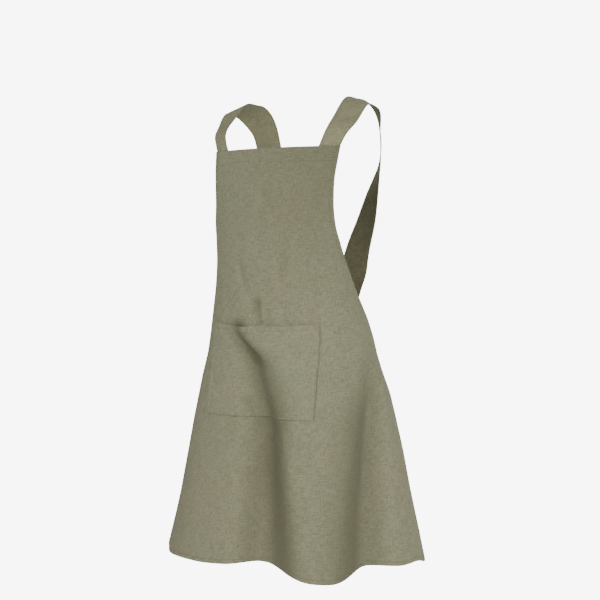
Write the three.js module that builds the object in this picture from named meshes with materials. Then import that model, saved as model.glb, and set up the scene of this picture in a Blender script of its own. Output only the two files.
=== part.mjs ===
// A linen cross back apron, hanging in the form it has when it is worn.
// Millimetres. +Z is up, the wearer faces -Y, the wearer's left is +X.
// The origin lies between the tops of the two straps, where the apron hangs on the shoulders.
import * as THREE from "three";

// Sizes of the whole apron.
const SHOULDER_DROP = 94; // from the tops of the straps down to the bib's top edge
const SHOULDER_HALF = 140; // from the middle to a strap's middle on top of a shoulder
const BACK_REACH = 143; // from the tops of the straps back to the straps on the back
const BODY_LENGTH = 790; // from the bib's top edge down to the hem
const HEM_HALF_WIDTH = 266; // side to side at the hem, before the folds
const HEM_HALF_DEPTH = 200; // front to back at the hem, before the folds

// Cloth.
const CLOTH = 1.2; // one layer of linen
const HEM_EXTRA = 0.9; // what a folded hem adds on the inside
const HEM_WIDTH = 9;
const HEM_STEP = 1; // in which a hem's extra thickness ends
const GAP = 0.3; // between two layers that are sewn together

// Folds of the skirt.
const FOLD_REACH = 24; // the deepest fold at the hem, out from the plain section
const HEM_RISE = 24; // the most that a fold lifts the hem
const RISE_BEGINS = 0.55; // share of BODY_LENGTH below which the folds lift the cloth
const RISE_POWER = 1.6; // how late the lift grows on its way to the hem

// Bib facing and straps.
const FACING_HEIGHT = 28;
const FACING_SEAM = 6; // of the facing below the strap ends
const FACING_STEP = 14; // in which the facing rises from the bib over a strap end
const STRAP = 2.0; // a strap is two layers, pressed flat
const STRAP_WIDTH = 66; // on the back, where the strap is widest
const STRAP_SLANT = 0.5; // sideways run of the strap for its height where it leaves the bib
const STRAP_TUCK = FACING_HEIGHT - FACING_SEAM; // strap end behind the bib's top edge
const STRAP_PRESSED = 10; // of the strap above the bib's top edge, still in line with the bib
const STRAP_TURN = 30; // in which the strap then turns free
const BACK_EASE = 0.9; // what a strap's back end stands off the panel it is sewn to
const CROSS_SPREAD = 1.8; // half the distance between the straps where they cross
const BACK_ROUND = 2 * BACK_REACH; // radius across the back of the form that the straps lie on

// Pocket.
const POCKET_WIDTH = 240;
const POCKET_HEIGHT = 174;
const POCKET_TOP = 332; // down from the bib's top edge
const POCKET_SHIFT = 7; // towards the wearer's left
const POCKET_GAPE = 12; // at the middle of the top edge, off the body
const POCKET_EASE = 0.6; // what the pocket stands off the body all over
const POCKET_SAG = 6; // of the top edge, at its middle
const POCKET_HEM = 10;
const GAPE_REACH = 0.8; // share of the pocket's height in which it closes on the body
const GAPE_POWER = 1.2; // how much the gape keeps to the middle

// Plain sections of the body, from the bib's top edge down to the hem.
// down: share of BODY_LENGTH. wide, deep: shares of the hem's half width and half depth.
// ahead: how far the section's middle lies to the front, as a share of HEM_HALF_DEPTH.
// edge: the angle round from the centre front at which the cloth ends, in degrees.
// rows: how many rows of the mesh there are from here down to the next section.
const SECTIONS = [
  { down: 0.0, wide: 0.68, deep: 0.406, ahead: 0.069, edge: 52, rows: 2 },
  { down: 0.06, wide: 0.662, deep: 0.445, ahead: 0.09, edge: 51.5, rows: 2 },
  { down: 0.134, wide: 0.602, deep: 0.465, ahead: 0.13, edge: 57.5, rows: 2 },
  { down: 0.209, wide: 0.543, deep: 0.475, ahead: 0.198, edge: 73.5, rows: 2 },
  { down: 0.266, wide: 0.537, deep: 0.49, ahead: 0.188, edge: 84.5, rows: 2 },
  { down: 0.318, wide: 0.548, deep: 0.525, ahead: 0.163, edge: 95, rows: 2 },
  { down: 0.384, wide: 0.584, deep: 0.584, ahead: 0.119, edge: 109, rows: 2 },
  { down: 0.425, wide: 0.616, deep: 0.619, ahead: 0.084, edge: 122, rows: 2 },
  { down: 0.463, wide: 0.642, deep: 0.644, ahead: 0.059, edge: 135, rows: 2 },
  { down: 0.5, wide: 0.665, deep: 0.668, ahead: 0.05, edge: 149, rows: 3 },
  { down: 0.53, wide: 0.69, deep: 0.692, ahead: 0.044, edge: 161, rows: 3 },
  { down: 0.55, wide: 0.708, deep: 0.71, ahead: 0.038, edge: 172, rows: 3 },
  { down: 0.603, wide: 0.752, deep: 0.757, ahead: 0.015, edge: 172, rows: 4 },
  { down: 0.72, wide: 0.828, deep: 0.832, ahead: 0.01, edge: 172, rows: 4 },
  { down: 0.84, wide: 0.898, deep: 0.896, ahead: 0.015, edge: 172, rows: 5 },
  { down: 1.0, wide: 1.0, deep: 1.0, ahead: 0.03, edge: 172, rows: 0 },
];

// Fold lines of the skirt, in order round the body. Crests reach out and valleys reach in.
// reach: share of FOLD_REACH at the hem. rise: share of HEM_RISE at the hem.
// begins: share of BODY_LENGTH at which the fold starts. at: the angle at each of FOLD_LEVELS.
const FOLD_LEVELS = [0.44, 0.5, 0.58, 0.64, 0.75, 0.86, 1.0];
const FOLDS = [
  { line: "right_edge", reach: 0.1, rise: 0, begins: 0.55, at: [-178, -178, -178, -178, -178, -178, -178] },
  { line: "valley_r3", reach: -0.5, rise: 0.1, begins: 0.52, at: [-152, -152, -151, -151, -150, -150, -150] },
  { line: "crest_r2", reach: 0.55, rise: 0.1, begins: 0.5, at: [-126, -126, -127, -127, -128, -128, -128] },
  { line: "valley_r2", reach: -0.5, rise: 0.1, begins: 0.5, at: [-104, -104, -105, -105, -106, -106, -106] },
  { line: "crest_r1", reach: 0.35, rise: 0.2, begins: 0.5, at: [-86, -86, -85, -85, -84, -84, -84] },
  { line: "valley_r1", reach: -0.1, rise: 0.15, begins: 0.48, at: [-68, -67, -66, -65, -63, -61, -60] },
  { line: "crest_a", reach: 0.35, rise: 0.62, begins: 0.42, at: [-44, -40, -34, -30, -26, -22, -20] },
  { line: "valley_ab", reach: -0.85, rise: 0.96, begins: 0.42, at: [-26, -2, 5, 10, 7, 6.5, 7] },
  { line: "crest_b", reach: 0.9, rise: 0, begins: 0.42, at: [-14, 9, 17, 22, 27, 33, 36] },
  { line: "crest_b_side", reach: 0.9, rise: 0, begins: 0.44, at: [84, 76, 66, 60, 52, 46, 41] },
  { line: "valley_bc", reach: -0.7, rise: 0.84, begins: 0.48, at: [102, 94, 84, 77, 70, 66, 63] },
  { line: "crest_c", reach: 0.4, rise: 0.9, begins: 0.5, at: [116, 108, 100, 95, 90, 87, 85] },
  { line: "valley_l2", reach: -0.45, rise: 0.3, begins: 0.5, at: [134, 128, 120, 116, 113, 111, 110] },
  { line: "crest_l3", reach: 0.5, rise: 0.2, begins: 0.52, at: [148, 144, 138, 135, 133, 132, 132] },
  { line: "valley_l3", reach: -0.4, rise: 0.1, begins: 0.54, at: [160, 158, 156, 154, 153, 152, 152] },
  { line: "left_edge", reach: 0.1, rise: 0, begins: 0.55, at: [178, 178, 178, 178, 178, 178, 178] },
];

// Small hollows that don't run to the hem. wide: degrees. tall: share of BODY_LENGTH.
// depth: share of FOLD_REACH.
const HOLLOWS = [
  { place: "above_pocket", angle: 6, down: 0.39, wide: 9, tall: 0.055, depth: 0.2 },
  { place: "beside_main_fold", angle: 2, down: 0.63, wide: 6, tall: 0.05, depth: 0.12 },
];

// Path of the left strap from the bib to the far back corner, at the middle of its width.
// across, back: shares of SHOULDER_HALF and BACK_REACH. ahead and behind: how far down, as a share
// of SHOULDER_DROP on the front and of the drop to the back corners on the back.
// wide: share of STRAP_WIDTH. turn: plan angle of the line across the strap. tip: its slope.
const STRAP_PATH = [
  { across: 0.84, back: -0.59, ahead: 1.23, behind: 0, wide: 0.64, turn: 30, tip: 0 },
  { across: 0.9, back: -0.5, ahead: 1, behind: 0, wide: 0.64, turn: 30, tip: 0 },
  { across: 0.96, back: -0.36, ahead: 0.68, behind: 0, wide: 0.7, turn: 22, tip: 8 },
  { across: 0.99, back: -0.18, ahead: 0.3, behind: 0, wide: 0.76, turn: 8, tip: 18 },
  { across: 1, back: 0.07, ahead: 0.02, behind: 0, wide: 0.82, turn: -10, tip: 20 },
  { across: 1, back: 0.34, ahead: 0, behind: 0.01, wide: 0.84, turn: -38, tip: 16 },
  { across: 0.98, back: 0.57, ahead: 0, behind: 0.035, wide: 0.86, turn: -57, tip: 8 },
  { across: 0.96, back: 0.72, ahead: 0, behind: 0.08, wide: 0.88, turn: -62, tip: 2 },
  { across: 0.94, back: 0.8, ahead: 0, behind: 0.15, wide: 0.88, turn: -62, tip: 0 },
  { across: 0.89, back: 0.86, ahead: 0, behind: 0.22, wide: 0.88, turn: -59, tip: 0 },
  { across: 0.81, back: 0.9, ahead: 0, behind: 0.285, wide: 0.9, turn: -49, tip: 0 },
  { across: 0.69, back: 0.95, ahead: 0, behind: 0.37, wide: 0.92, turn: -34, tip: 0 },
  { across: 0.56, back: 0.99, ahead: 0, behind: 0.465, wide: 0.94, turn: -22, tip: 0 },
  { across: 0.44, back: 1, ahead: 0, behind: 0.555, wide: 0.97, turn: -12, tip: 0 },
  { across: 0.36, back: 1, ahead: 0, behind: 0.645, wide: 1, turn: -5, tip: 0 },
  { across: 0.24, back: 0.99, ahead: 0, behind: 0.73, wide: 1, turn: 0, tip: 0 },
  { across: 0.06, back: 0.96, ahead: 0, behind: 0.82, wide: 1, turn: 0, tip: 0 },
  { across: -0.17, back: 0.92, ahead: 0, behind: 0.91, wide: 1, turn: 0, tip: 0 },
  { across: -0.44, back: 0.89, ahead: 0, behind: 1, wide: 1, turn: 0, tip: 0 },
  { across: -0.61, back: 0.92, ahead: 0, behind: 1.06, wide: 1, turn: 0, tip: 0 },
];

// Below the crossing, each strap goes from the other strap's face to the inside of its back panel.
// down: share of the drop to the back corners. from, to: shares of STRAP_WIDTH from the middle.
const STRAP_LEAVES = [
  { down: 0.908, from: 0.38, to: 0.97 },
  { down: 0.946, from: 0.39, to: 0.94 },
  { down: 0.988, from: -0.6, to: 0.06 },
];

// Stages of a strap's run down the back, as shares of the drop to the back corners.
const STAGES = {
  formed: { from: 0.62, to: 0.7 }, // both straps come to lie on one smooth form
  sewn: { from: 0.86, to: 0.927 }, // each end goes over to the inside of its back panel
  closed: { from: 0.946, to: 1.003 }, // the spread of the crossing ends
};
const FORM_BEGINS = 0.45; // the rows of the path below this share give the form

// Where the back panels are looked for, round from the centre front, in degrees.
const BACK_ANGLES = { from: 110, to: 179 };
const HALVINGS = 24;

// How finely each piece is divided.
const BODY_COLUMNS = 46;
const COLUMN_CROWD = 0.2; // by how much the columns crowd towards the centre front
const POCKET_ROWS = 10;
const POCKET_COLUMNS = 16;
const FACING_COLUMNS = 32;
const STRAP_ROWS = 50;
const STRAP_COLUMNS = 3;

// Steps over which a surface's or a path's direction is measured.
const ANGLE_STEP = 0.5; // degrees
const DOWN_STEP = 0.003; // share of BODY_LENGTH
const PATH_STEP = 2; // mm

// Colours and surfaces.
const LINEN = { color: 0x87856f, roughness: 0.92, metalness: 0 };

const RADIANS = Math.PI / 180;
const clamp = (x, low, high) => Math.min(high, Math.max(low, x));
const mix = (a, b, share) => a + (b - a) * share;
const ease = (x) => {
  const c = clamp(x, 0, 1);
  return c * c * (3 - 2 * c);
};

// A smooth curve through places xs with values ys, which never swings past its rows.
function smooth(xs, ys, x) {
  const last = xs.length - 1;
  const place = clamp(x, xs[0], xs[last]);
  let i = 0;
  while (i < last - 1 && place > xs[i + 1]) i += 1;
  const slope = (k) => (ys[k + 1] - ys[k]) / (xs[k + 1] - xs[k]);
  const tangent = (k) => {
    if (k === 0) return slope(0);
    if (k === last) return slope(last - 1);
    const a = slope(k - 1);
    const b = slope(k);
    return a * b <= 0 ? 0 : (2 * a * b) / (a + b);
  };
  const h = xs[i + 1] - xs[i];
  const q = (place - xs[i]) / h;
  const start = (2 * q * q * q - 3 * q * q + 1) * ys[i] + (q * q * q - 2 * q * q + q) * h * tangent(i);
  const end = (3 * q * q - 2 * q * q * q) * ys[i + 1] + (q * q * q - q * q) * h * tangent(i + 1);
  return start + end;
}

const DOWNS = SECTIONS.map((row) => row.down);
const column = (name) => SECTIONS.map((row) => row[name]);
const WIDE = column("wide");
const DEEP = column("deep");
const AHEAD = column("ahead");
const EDGE = column("edge");
const halfWidth = (s) => HEM_HALF_WIDTH * smooth(DOWNS, WIDE, s);
const halfDepth = (s) => HEM_HALF_DEPTH * smooth(DOWNS, DEEP, s);
const middle = (s) => -HEM_HALF_DEPTH * smooth(DOWNS, AHEAD, s);
const edgeAngle = (s) => smooth(DOWNS, EDGE, s);

// Reach and rise of the folds at one angle and share down.
function folds(angle, s) {
  const line = (fold) => smooth(FOLD_LEVELS, fold.at, s);
  let k = 0;
  while (k < FOLDS.length - 2 && angle > line(FOLDS[k + 1])) k += 1;
  const a = FOLDS[k];
  const b = FOLDS[k + 1];
  const share = ease((angle - line(a)) / (line(b) - line(a)));
  const grown = (fold) => clamp((s - fold.begins) / (1 - fold.begins), 0, 1);
  const reach = mix(a.reach * grown(a), b.reach * grown(b), share) * FOLD_REACH;
  const lift = clamp((s - RISE_BEGINS) / (1 - RISE_BEGINS), 0, 1) ** RISE_POWER;
  const rise = mix(a.rise, b.rise, share) * HEM_RISE * lift;
  let hollow = 0;
  for (const h of HOLLOWS) {
    const away = ((angle - h.angle) / h.wide) ** 2 + ((s - h.down) / h.tall) ** 2;
    hollow -= h.depth * FOLD_REACH * Math.exp(-away);
  }
  return { reach: reach + hollow, rise };
}

// A place on the outside of the body's cloth: angle in degrees from the centre front, share down.
function cloth(angle, s) {
  const a = angle * RADIANS;
  const wide = halfWidth(s);
  const deep = halfDepth(s);
  const { reach, rise } = folds(angle, s);
  const out = new THREE.Vector2(Math.sin(a) / wide, -Math.cos(a) / deep).normalize();
  return new THREE.Vector3(
    wide * Math.sin(a) + out.x * reach,
    middle(s) - deep * Math.cos(a) + out.y * reach,
    rise - SHOULDER_DROP - BODY_LENGTH * s,
  );
}

// The same place moved along the cloth's outward normal.
function clothAt(angle, s, off) {
  const round = cloth(angle + ANGLE_STEP, s).sub(cloth(angle - ANGLE_STEP, s));
  const down = cloth(angle, Math.min(1, s + DOWN_STEP)).sub(cloth(angle, Math.max(0, s - DOWN_STEP)));
  return cloth(angle, s).addScaledVector(down.cross(round).normalize(), off);
}

// The angle at a length along the cloth, measured round from the angle "from".
function angleAlong(from, s, length) {
  const step = Math.sign(length) || 1;
  let left = Math.abs(length);
  let angle = from;
  let here = cloth(angle, s);
  while (Math.abs(angle - from) < 360) {
    const next = cloth(angle + step, s);
    const run = Math.hypot(next.x - here.x, next.y - here.y);
    if (run >= left) return angle + (step * left) / run;
    left -= run;
    angle += step;
    here = next;
  }
  return angle;
}

// A closed sheet from two equal grids of points, with a rim joining their edges.
function sheetMesh(name, outside, inside) {
  const rows = outside.length;
  const columns = outside[0].length;
  const positions = [];
  for (const grid of [outside, inside]) {
    for (const row of grid) {
      for (const p of row) positions.push(p.x, p.y, p.z);
    }
  }
  const at = (layer, j, i) => (layer * rows + j) * columns + i;
  const faces = [];
  const quad = (a, b, c, d) => faces.push(a, b, c, a, c, d);
  for (let j = 0; j < rows - 1; j += 1) {
    for (let i = 0; i < columns - 1; i += 1) {
      quad(at(0, j, i), at(0, j + 1, i), at(0, j + 1, i + 1), at(0, j, i + 1));
      quad(at(1, j, i), at(1, j, i + 1), at(1, j + 1, i + 1), at(1, j + 1, i));
    }
  }
  for (let i = 0; i < columns - 1; i += 1) {
    quad(at(0, 0, i), at(0, 0, i + 1), at(1, 0, i + 1), at(1, 0, i));
    quad(at(0, rows - 1, i), at(1, rows - 1, i), at(1, rows - 1, i + 1), at(0, rows - 1, i + 1));
  }
  for (let j = 0; j < rows - 1; j += 1) {
    quad(at(0, j, 0), at(1, j, 0), at(1, j + 1, 0), at(0, j + 1, 0));
    quad(at(0, j, columns - 1), at(0, j + 1, columns - 1), at(1, j + 1, columns - 1), at(1, j, columns - 1));
  }
  const geometry = new THREE.BufferGeometry();
  geometry.setAttribute("position", new THREE.Float32BufferAttribute(positions, 3));
  geometry.setIndex(faces);
  geometry.computeVertexNormals();
  const mesh = new THREE.Mesh(geometry, new THREE.MeshStandardMaterial(LINEN));
  mesh.name = name;
  return mesh;
}

// Body: bib and skirt in one panel, with a folded hem round every edge but the bib's top.
const hemStarts = 1 - HEM_WIDTH / BODY_LENGTH;
const bodyRows = [];
SECTIONS.forEach((row, k) => {
  for (let i = 0; i < row.rows; i += 1) bodyRows.push(mix(row.down, SECTIONS[k + 1].down, i / row.rows));
});
bodyRows.push(hemStarts - HEM_STEP / BODY_LENGTH, hemStarts, 1);
const bodyOut = [];
const bodyIn = [];
bodyRows.forEach((s, j) => {
  const edge = edgeAngle(s);
  const hem = edge - angleAlong(edge, s, -HEM_WIDTH);
  const step = (hem * HEM_STEP) / HEM_WIDTH;
  const angles = [-edge, hem - edge, hem + step - edge];
  for (let i = 1; i < BODY_COLUMNS; i += 1) {
    const u = (2 * i) / BODY_COLUMNS - 1;
    angles.push((edge - hem - step) * mix(u, u ** 3, COLUMN_CROWD));
  }
  angles.push(edge - hem - step, edge - hem, edge);
  const inHem = (i) => i < 2 || i > angles.length - 3 || j > bodyRows.length - 3;
  bodyOut.push(angles.map((angle) => clothAt(angle, s, 0)));
  bodyIn.push(angles.map((angle, i) => clothAt(angle, s, -CLOTH - (inHem(i) ? HEM_EXTRA : 0))));
});
const body = sheetMesh("apron_body", bodyOut, bodyIn);

// Straps: each end is laid on the inside of the body, and the rest hangs free.
const sewnDepth = CLOTH + HEM_EXTRA + 2 * GAP; // from the body's outside to the near face of a strap
const backDrop = SHOULDER_DROP + BODY_LENGTH * SECTIONS.find((row) => row.edge === EDGE.at(-1)).down;
const path = STRAP_PATH.map((row) => ({
  place: new THREE.Vector3(
    row.across * SHOULDER_HALF,
    row.back * BACK_REACH,
    -row.ahead * SHOULDER_DROP - row.behind * backDrop,
  ),
  wide: row.wide * STRAP_WIDTH,
  turn: row.turn,
  tip: row.tip,
}));
const runs = [0];
for (let k = 1; k < path.length; k += 1) {
  runs.push(runs[k - 1] + path[k].place.distanceTo(path[k - 1].place));
}
const pathRun = runs.at(-1);
const pathAt = (name, run) => smooth(runs, path.map((row) => row[name]), run);
const pathPlace = (run) => {
  const axis = (name) => smooth(runs, path.map((row) => row.place[name]), run);
  return new THREE.Vector3(axis("x"), axis("y"), axis("z"));
};
const lowPath = path.filter((row) => row.place.z < -FORM_BEGINS * backDrop);
const lowHeights = lowPath.map((row) => -row.place.z);
const lowBacks = lowPath.map((row) => row.place.y);
const leavesAt = STRAP_LEAVES.map((row) => row.down * backDrop);
const leavesFrom = STRAP_LEAVES.map((row) => row.from * STRAP_WIDTH);
const leavesTo = STRAP_LEAVES.map((row) => row.to * STRAP_WIDTH);

// The angle on the bib at a distance from the strap's outer edge, "down" below the bib's top edge.
const strapAngle = (off, down) => angleAlong(edgeAngle(0), 0, off - GAP - STRAP_SLANT * down);

// The share down and the angle of the body's back at a place across and up.
function backPlace(across, up) {
  const s = clamp((-up - SHOULDER_DROP) / BODY_LENGTH, 0, 1);
  const side = Math.sign(across);
  let low = BACK_ANGLES.from;
  let high = BACK_ANGLES.to;
  for (let i = 0; i < HALVINGS; i += 1) {
    const half = (low + high) / 2;
    if (cloth(side * half, s).x * side > Math.abs(across)) low = half;
    else high = half;
  }
  return { s, angle: (side * (low + high)) / 2 };
}

// On the back the two straps lie on one smooth form, one outside the other, and each
// one's end lies inside its back panel.
function layOnBack(p, lift, layer) {
  const down = -p.z;
  const grown = (stage) => ease((down / backDrop - stage.from) / (stage.to - stage.from));
  const low = grown(STAGES.formed);
  if (low === 0) return;
  const form = smooth(lowHeights, lowBacks, down) - (p.x * p.x) / (2 * BACK_ROUND);
  const spread = layer * CROSS_SPREAD * (1 - grown(STAGES.closed));
  p.y = mix(p.y, form + spread + lift, low);
  const from = smooth(leavesAt, leavesFrom, down);
  const to = smooth(leavesAt, leavesTo, down);
  const sewnShare = grown(STAGES.sewn) * ease((-p.x - from) / (to - from));
  if (sewnShare === 0 || p.x >= 0) return;
  const { s, angle } = backPlace(p.x, p.z);
  const sewn = clothAt(angle, s, -sewnDepth - BACK_EASE - STRAP / 2 + lift);
  p.y = mix(p.y, sewn.y, sewnShare);
}

// Both faces of a strap at one run along it: side 1 is the wearer's left shoulder.
function strapRow(run, side, layer) {
  const ahead = pathPlace(Math.min(pathRun, run + PATH_STEP));
  const along = ahead.sub(pathPlace(Math.max(0, run - PATH_STEP))).normalize();
  const turn = pathAt("turn", run) * RADIANS;
  const tip = pathAt("tip", run) * RADIANS;
  const level = Math.cos(tip);
  const across = new THREE.Vector3(Math.cos(turn) * level, Math.sin(turn) * level, -Math.sin(tip));
  across.addScaledVector(along, -across.dot(along)).normalize();
  const out = new THREE.Vector3().crossVectors(across, along).normalize();
  const wide = pathAt("wide", run);
  const down = STRAP_TUCK - run / Math.hypot(1, STRAP_SLANT);
  const sewnShare = 1 - ease((-down - STRAP_PRESSED) / STRAP_TURN);
  const faces = [[], []];
  for (let i = 0; i <= STRAP_COLUMNS; i += 1) {
    const off = (i / STRAP_COLUMNS - 0.5) * wide;
    for (const face of [0, 1]) {
      const lift = (0.5 - face) * STRAP;
      const p = pathPlace(run).addScaledVector(across, off).addScaledVector(out, lift);
      if (sewnShare > 0) {
        const angle = strapAngle(off - wide / 2, down);
        const sewn = clothAt(angle, Math.max(0, down / BODY_LENGTH), -sewnDepth - STRAP / 2 + lift);
        sewn.z = -SHOULDER_DROP - down;
        p.lerp(sewn, sewnShare);
      }
      layOnBack(p, lift, layer);
      p.x *= side;
      faces[face].push(p);
    }
  }
  return faces;
}

function strapMesh(name, side, layer) {
  const outer = [];
  const inner = [];
  for (let j = 0; j <= STRAP_ROWS; j += 1) {
    const [a, b] = strapRow((pathRun * j) / STRAP_ROWS, side, layer);
    if (side < 0) {
      a.reverse();
      b.reverse();
    }
    outer.push(a);
    inner.push(b);
  }
  outer.reverse();
  inner.reverse();
  return sheetMesh(name, outer, inner);
}
const strapLeft = strapMesh("strap_left", 1, 1);
const strapRight = strapMesh("strap_right", -1, -1);

// Bib facing: a band inside the bib's top edge, which passes over the strap ends.
const facingOut = [];
const facingIn = [];
const strapEnd = path[0].wide;
const overStrap = STRAP_TUCK + FACING_SEAM / 4;
for (const down of [0, STRAP_TUCK / 3, (2 * STRAP_TUCK) / 3, overStrap, FACING_HEIGHT]) {
  const s = down / BODY_LENGTH;
  const inset = angleAlong(edgeAngle(s), s, -HEM_WIDTH / 3);
  const rises = strapAngle(-strapEnd - 1.5 * FACING_STEP, down);
  const risen = strapAngle(-strapEnd - FACING_STEP / 2, down);
  const outs = [];
  const ins = [];
  for (let i = 0; i <= FACING_COLUMNS; i += 1) {
    const angle = mix(-inset, inset, i / FACING_COLUMNS);
    const beside = ease((Math.abs(angle) - rises) / (risen - rises));
    const over = beside * (1 - ease((down - overStrap) / (FACING_HEIGHT - overStrap)));
    const depth = mix(CLOTH + GAP, sewnDepth, beside) + (STRAP + GAP) * over;
    outs.push(clothAt(angle, s, -depth));
    ins.push(clothAt(angle, s, -depth - CLOTH));
  }
  facingOut.push(outs);
  facingIn.push(ins);
}
const facing = sheetMesh("bib_facing", facingOut, facingIn);

// Pocket: lies on the body at its sides and bottom, and gapes a little at the top.
const pocketOut = [];
const pocketIn = [];
const pocketHem = POCKET_HEM / POCKET_HEIGHT;
const pocketRows = [0, pocketHem, pocketHem + HEM_STEP / POCKET_HEIGHT];
for (let i = 1; i <= POCKET_ROWS; i += 1) pocketRows.push(mix(pocketHem, 1, i / POCKET_ROWS));
pocketRows.forEach((share, j) => {
  const outs = [];
  const ins = [];
  for (let i = 0; i <= POCKET_COLUMNS; i += 1) {
    const across = (2 * i) / POCKET_COLUMNS - 1;
    const bow = (1 - across * across) ** GAPE_POWER * (1 - ease(share / GAPE_REACH));
    const sag = POCKET_SAG * (1 - across * across) * (1 - share);
    const s = (POCKET_TOP + sag + share * (POCKET_HEIGHT - sag)) / BODY_LENGTH;
    const angle = angleAlong(0, s, POCKET_SHIFT + (across * POCKET_WIDTH) / 2);
    const off = GAP + POCKET_EASE + POCKET_GAPE * bow;
    const hem = j < 2 ? HEM_EXTRA : 0;
    outs.push(clothAt(angle, s, off + CLOTH + hem));
    ins.push(clothAt(angle, s, off));
  }
  pocketOut.push(outs);
  pocketIn.push(ins);
});
const pocket = sheetMesh("pocket", pocketOut, pocketIn);

const group = new THREE.Group();
group.name = "cross_back_apron";
group.add(body, facing, strapLeft, strapRight, pocket);
export default group;
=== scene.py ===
from collections import namedtuple

import bpy
import numpy as np
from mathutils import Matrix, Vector


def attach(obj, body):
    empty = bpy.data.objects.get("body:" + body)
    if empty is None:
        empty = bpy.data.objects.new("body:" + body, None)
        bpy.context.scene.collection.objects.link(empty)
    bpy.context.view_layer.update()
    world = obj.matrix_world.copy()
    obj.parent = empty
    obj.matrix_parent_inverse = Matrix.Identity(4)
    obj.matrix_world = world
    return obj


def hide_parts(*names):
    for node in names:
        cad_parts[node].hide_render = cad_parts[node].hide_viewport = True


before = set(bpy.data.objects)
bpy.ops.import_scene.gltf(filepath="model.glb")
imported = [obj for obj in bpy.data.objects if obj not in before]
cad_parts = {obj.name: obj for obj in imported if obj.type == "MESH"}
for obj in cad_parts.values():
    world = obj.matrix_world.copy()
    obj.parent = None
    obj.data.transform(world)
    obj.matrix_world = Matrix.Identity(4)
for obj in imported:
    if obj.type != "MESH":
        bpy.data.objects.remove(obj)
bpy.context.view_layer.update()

# Body: bib and skirt are one panel of washed linen, cut flared and wrapped from the front
# round to the back, where its edges stay apart. Its sides and its lower edge are turned twice
# to the inside and stitched down, and its upper edge is seamed to the facing.
SHOULDER_DROP = 0.094
BODY_LENGTH = 0.79
HEM_HALF_WIDTH = 0.266
HEM_HALF_DEPTH = 0.2
CLOTH = 0.0012
HEM_EXTRA = 0.0009
HEM_WIDTH = 0.009
HEM_STITCH = 0.0078
FACING_STITCH = 0.025
GAP = 0.0003
SEAM_RADIUS = 0.0006
SEAM_ROUNDS_FRONT, SEAM_ROUNDS_BACK = 0.0009, 0.0001
EDGE_CLOSES = 0.46
HEM_PUFF = 0.00025
HEM_STEP = 0.0002
FOLD_REACH = 0.024
HEM_RISE = 0.024
RISE_BEGINS = 0.55
RISE_POWER = 1.6

# Plain sections from the bib's top edge to the hem, as in the model: share down, half width and
# half depth as shares of the hem's, middle ahead, and the angle in degrees where the cloth ends.
DOWN, WIDE, DEEP, AHEAD, EDGE = np.array([
    (0, 0.68, 0.406, 0.069, 52),
    (0.06, 0.662, 0.445, 0.09, 51.5),
    (0.134, 0.602, 0.465, 0.13, 57.5),
    (0.209, 0.543, 0.475, 0.198, 73.5),
    (0.266, 0.537, 0.49, 0.188, 84.5),
    (0.318, 0.548, 0.525, 0.163, 95),
    (0.384, 0.584, 0.584, 0.119, 109),
    (0.425, 0.616, 0.619, 0.084, 122),
    (0.463, 0.642, 0.644, 0.059, 135),
    (0.5, 0.665, 0.668, 0.05, 149),
    (0.53, 0.69, 0.692, 0.044, 161),
    (0.55, 0.708, 0.71, 0.038, 172),
    (0.603, 0.752, 0.757, 0.015, 172),
    (0.72, 0.828, 0.832, 0.01, 172),
    (0.84, 0.898, 0.896, 0.015, 172),
    (1, 1, 1, 0.03, 172),
]).T

# Fold lines of the skirt in order round the body: how far each reaches out, how much it lifts the
# hem, where it begins, how it grows, the shares of the way to the next line between which its flank
# lies, and its angle at each of the levels.
Fold = namedtuple("Fold", "line reach rise begins growth flank at")
FOLD_LEVELS = (0.44, 0.5, 0.58, 0.64, 0.75, 0.86, 1)
FOLDS = (
    Fold("right_edge", 0.1, 0, 0.55, 1, (0.1, 0.9), (-178, -178, -178, -178, -178, -178, -178)),
    Fold("valley_r3", -0.5, 0.1, 0.52, 1, (0.2, 0.8), (-152, -152, -151, -151, -150, -150, -150)),
    Fold("crest_r2", 0.55, 0.1, 0.5, 1, (0.2, 0.8), (-126, -126, -127, -127, -128, -128, -128)),
    Fold("valley_r2", -0.5, 0.1, 0.5, 1, (0.2, 0.8), (-104, -104, -105, -105, -106, -106, -106)),
    Fold("crest_r1", 0.35, 0.2, 0.5, 1, (0.1, 0.9), (-86, -86, -85, -85, -84, -84, -84)),
    Fold("valley_r1", -0.1, 0.15, 0.48, 1, (0.1, 0.9), (-68, -67, -66, -65, -63, -61, -60)),
    Fold("crest_a", 0.4, 0.62, 0.42, 0.6, (0.6, 1), (-44, -40, -34, -30, -26, -22, -20)),
    Fold("valley_ab", -1.35, 0.96, 0.41, 0.55, (0.1, 0.84), (-26, -2, 5, 10, 9, 8, 8)),
    Fold("crest_b", 0.9, 0, 0.42, 0.7, (0, 1), (-4, 12, 18, 22, 28, 34, 37)),
    Fold("crest_b_side", 0.9, 0, 0.44, 0.8, (0, 0.9), (84, 76, 66, 60, 52, 46, 41)),
    Fold("valley_bc", -1.05, 0.84, 0.46, 0.6, (0, 0.7), (100, 92, 82, 75, 68, 64, 61)),
    Fold("crest_c", 0.4, 0.9, 0.5, 0.8, (0.2, 0.8), (116, 108, 100, 95, 90, 87, 85)),
    Fold("side_l2", 0.15, 0.3, 0.48, 1, (0.2, 0.8), (134, 128, 120, 116, 113, 111, 110)),
    Fold("crest_l3", 0.45, 0.2, 0.52, 1, (0.2, 0.8), (148, 144, 138, 135, 133, 132, 132)),
    Fold("valley_l3", -0.4, 0.1, 0.54, 1, (0.1, 0.9), (160, 158, 156, 154, 153, 152, 152)),
    Fold("left_edge", 0.1, 0, 0.55, 1, (0, 1), (178, 178, 178, 178, 178, 178, 178)),
)

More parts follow.
